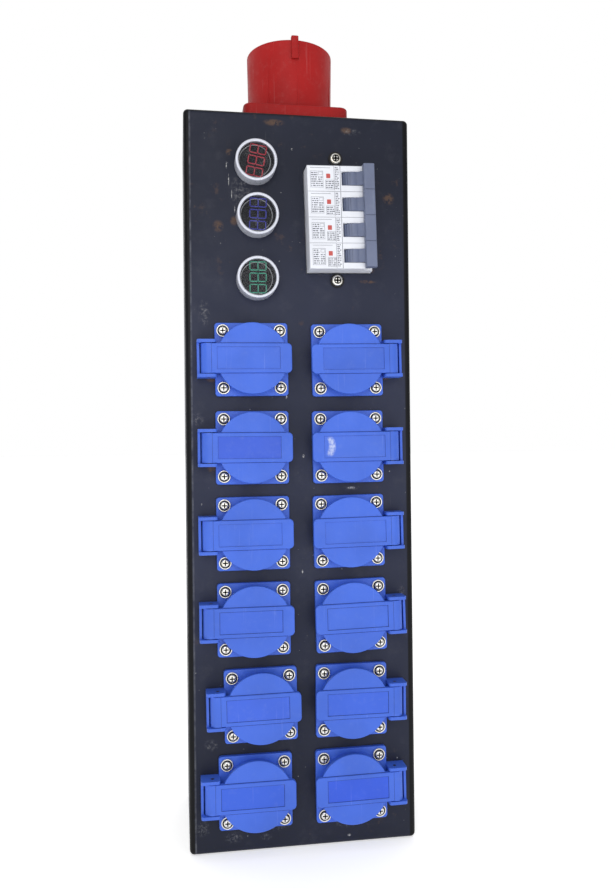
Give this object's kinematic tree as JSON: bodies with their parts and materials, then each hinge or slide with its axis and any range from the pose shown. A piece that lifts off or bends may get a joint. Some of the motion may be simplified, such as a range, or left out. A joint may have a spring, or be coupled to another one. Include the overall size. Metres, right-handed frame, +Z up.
{
  "type": "portable power distribution box",
  "caption": "Tall steel power distribution box with a three-phase inlet on top, round digital meters, circuit breakers and a double column of panel sockets with hinged lids.",
  "frame": {"origin": "centre of the box's flat bottom face", "axes": "+X to the right and +Y to the back as seen from the socket panel, which faces -Y; +Z up along the box to the inlet"},
  "size_m": [0.158, 0.1226, 0.571],
  "materials": {
    "painted_steel": "semi-gloss enamel, scratched",
    "zinc_steel": "zinc plated",
    "black_rubber": "matte",
    "brass": "bare",
    "copper": "bare copper",
    "nickel_brass": "nickel plated",
    "meter_chrome": "satin chrome",
    "meter_glass": "smoked window",
    "display_black": "filter film",
    "black_moulding": "moulded",
    "blue_moulding": "moulded, light sheen",
    "red_moulding": "moulded",
    "white_moulding": "moulded",
    "toggle_grey": "moulded",
    "wire_insulation": "vinyl"
  },
  "bodies": {
    "root": {"bottom_plate": "painted_steel", "breaker_case_1": "white_moulding", "breaker_case_2": "white_moulding", "breaker_case_3": "white_moulding", "breaker_case_4": "white_moulding", "comb_busbar": "copper", "din_rail": "zinc_steel", "din_rail_screws": "zinc_steel", "earth_terminal_bar": "brass", "front_shell": "painted_steel", "inlet_contact_carrier": "black_moulding", "inlet_gasket": "black_rubber", "inlet_housing": "red_moulding", "inlet_pins": "nickel_brass", "inlet_screws": "zinc_steel", "internal_wiring": "wire_insulation", "lid_hinge_pins": "zinc_steel", "lid_springs": "zinc_steel", "meter_bezels": "meter_chrome", "meter_displays": "display_black", "meter_housings": "black_moulding", "meter_lenses": "meter_glass", "meter_nuts": "black_moulding", "rear_cover": "painted_steel", "rear_cover_screws": "zinc_steel", "socket_base_left_1": "blue_moulding", "socket_base_left_2": "blue_moulding", "socket_base_left_3": "blue_moulding", "socket_base_left_4": "blue_moulding", "socket_base_left_5": "blue_moulding", "socket_base_left_6": "blue_moulding", "socket_base_right_1": "blue_moulding", "socket_base_right_2": "blue_moulding", "socket_base_right_3": "blue_moulding", "socket_base_right_4": "blue_moulding", "socket_base_right_5": "blue_moulding", "socket_base_right_6": "blue_moulding", "socket_contacts": "brass", "socket_earth_clips": "brass", "socket_nuts": "zinc_steel", "socket_screws": "zinc_steel", "socket_seals": "black_rubber", "socket_washers": "zinc_steel", "top_plate": "painted_steel"},
    "toggle_1": {"breaker_toggle_1": "toggle_grey"},
    "toggle_2": {"breaker_toggle_2": "toggle_grey"},
    "toggle_3": {"breaker_toggle_3": "toggle_grey"},
    "toggle_4": {"breaker_toggle_4": "toggle_grey"},
    "lid_left_1": {"socket_lid_left_1": "blue_moulding"},
    "lid_left_2": {"socket_lid_left_2": "blue_moulding"},
    "lid_left_3": {"socket_lid_left_3": "blue_moulding"},
    "lid_left_4": {"socket_lid_left_4": "blue_moulding"},
    "lid_left_5": {"socket_lid_left_5": "blue_moulding"},
    "lid_left_6": {"socket_lid_left_6": "blue_moulding"},
    "lid_right_1": {"socket_lid_right_1": "blue_moulding"},
    "lid_right_2": {"socket_lid_right_2": "blue_moulding"},
    "lid_right_3": {"socket_lid_right_3": "blue_moulding"},
    "lid_right_4": {"socket_lid_right_4": "blue_moulding"},
    "lid_right_5": {"socket_lid_right_5": "blue_moulding"},
    "lid_right_6": {"socket_lid_right_6": "blue_moulding"}
  },
  "joints": [
    {"name": "lid_left_1_hinge", "type": "hinge", "parent": "root", "child": "lid_left_1", "pos_m": [-0.0636, -0.05785, 0.33624], "axis": [0.0087, 0, -1], "range_deg": [0, 105], "stiffness_Nm_per_rad": 0.012, "springref_deg": -34.38},
    {"name": "lid_left_2_hinge", "type": "hinge", "parent": "root", "child": "lid_left_2", "pos_m": [-0.0636, -0.05785, 0.2762], "axis": [0, 0, -1], "range_deg": [0, 105], "stiffness_Nm_per_rad": 0.012, "springref_deg": -34.38},
    {"name": "lid_left_3_hinge", "type": "hinge", "parent": "root", "child": "lid_left_3", "pos_m": [-0.0636, -0.05785, 0.21745], "axis": [0.0052, 0, -1], "range_deg": [0, 105], "stiffness_Nm_per_rad": 0.012, "springref_deg": -34.38},
    {"name": "lid_left_4_hinge", "type": "hinge", "parent": "root", "child": "lid_left_4", "pos_m": [-0.0636, -0.05785, 0.159], "axis": [0, 0, -1], "range_deg": [0, 105], "stiffness_Nm_per_rad": 0.012, "springref_deg": -34.38},
    {"name": "lid_left_5_hinge", "type": "hinge", "parent": "root", "child": "lid_left_5", "pos_m": [-0.0595, -0.05785, 0.10009], "axis": [0.0105, 0, -0.9999], "range_deg": [0, 105], "stiffness_Nm_per_rad": 0.012, "springref_deg": -34.38},
    {"name": "lid_left_6_hinge", "type": "hinge", "parent": "root", "child": "lid_left_6", "pos_m": [-0.0636, -0.05785, 0.04175], "axis": [0.0017, 0, -1], "range_deg": [0, 105], "stiffness_Nm_per_rad": 0.012, "springref_deg": -34.38},
    {"name": "lid_right_1_hinge", "type": "hinge", "parent": "root", "child": "lid_right_1", "pos_m": [0.0621, -0.05785, 0.33696], "axis": [-0.0157, 0, 0.9999], "range_deg": [0, 105], "stiffness_Nm_per_rad": 0.012, "springref_deg": -34.38},
    {"name": "lid_right_2_hinge", "type": "hinge", "parent": "root", "child": "lid_right_2", "pos_m": [0.0621, -0.05785, 0.27651], "axis": [-0.0105, 0, 0.9999], "range_deg": [0, 105], "stiffness_Nm_per_rad": 0.012, "springref_deg": -34.38},
    {"name": "lid_right_3_hinge", "type": "hinge", "parent": "root", "child": "lid_right_3", "pos_m": [0.0621, -0.05785, 0.21806], "axis": [-0.0157, 0, 0.9999], "range_deg": [0, 105], "stiffness_Nm_per_rad": 0.012, "springref_deg": -34.38},
    {"name": "lid_right_4_hinge", "type": "hinge", "parent": "root", "child": "lid_right_4", "pos_m": [0.06299, -0.05785, 0.15962], "axis": [-0.0209, 0, 0.9998], "range_deg": [0, 105], "stiffness_Nm_per_rad": 0.012, "springref_deg": -34.38},
    {"name": "lid_right_5_hinge", "type": "hinge", "parent": "root", "child": "lid_right_5", "pos_m": [0.0626, -0.05785, 0.1003], "axis": [0.0035, 0, 1], "range_deg": [0, 105], "stiffness_Nm_per_rad": 0.012, "springref_deg": -34.38},
    {"name": "lid_right_6_hinge", "type": "hinge", "parent": "root", "child": "lid_right_6", "pos_m": [0.0621, -0.05785, 0.04211], "axis": [-0.0105, 0, 0.9999], "range_deg": [0, 105], "stiffness_Nm_per_rad": 0.012, "springref_deg": -34.38},
    {"name": "toggle_1_throw", "type": "hinge", "parent": "root", "child": "toggle_1", "pos_m": [0.03538, -0.0564, 0.4596], "axis": [0.0236, 0, -0.9997], "range_deg": [0, 72]},
    {"name": "toggle_2_throw", "type": "hinge", "parent": "root", "child": "toggle_2", "pos_m": [0.03579, -0.0564, 0.44201], "axis": [0.0236, 0, -0.9997], "range_deg": [0, 72]},
    {"name": "toggle_3_throw", "type": "hinge", "parent": "root", "child": "toggle_3", "pos_m": [0.0362, -0.0564, 0.42441], "axis": [0.0236, 0, -0.9997], "range_deg": [0, 72]},
    {"name": "toggle_4_throw", "type": "hinge", "parent": "root", "child": "toggle_4", "pos_m": [0.03662, -0.0564, 0.40682], "axis": [0.0236, 0, -0.9997], "range_deg": [0, 72]}
  ]
}
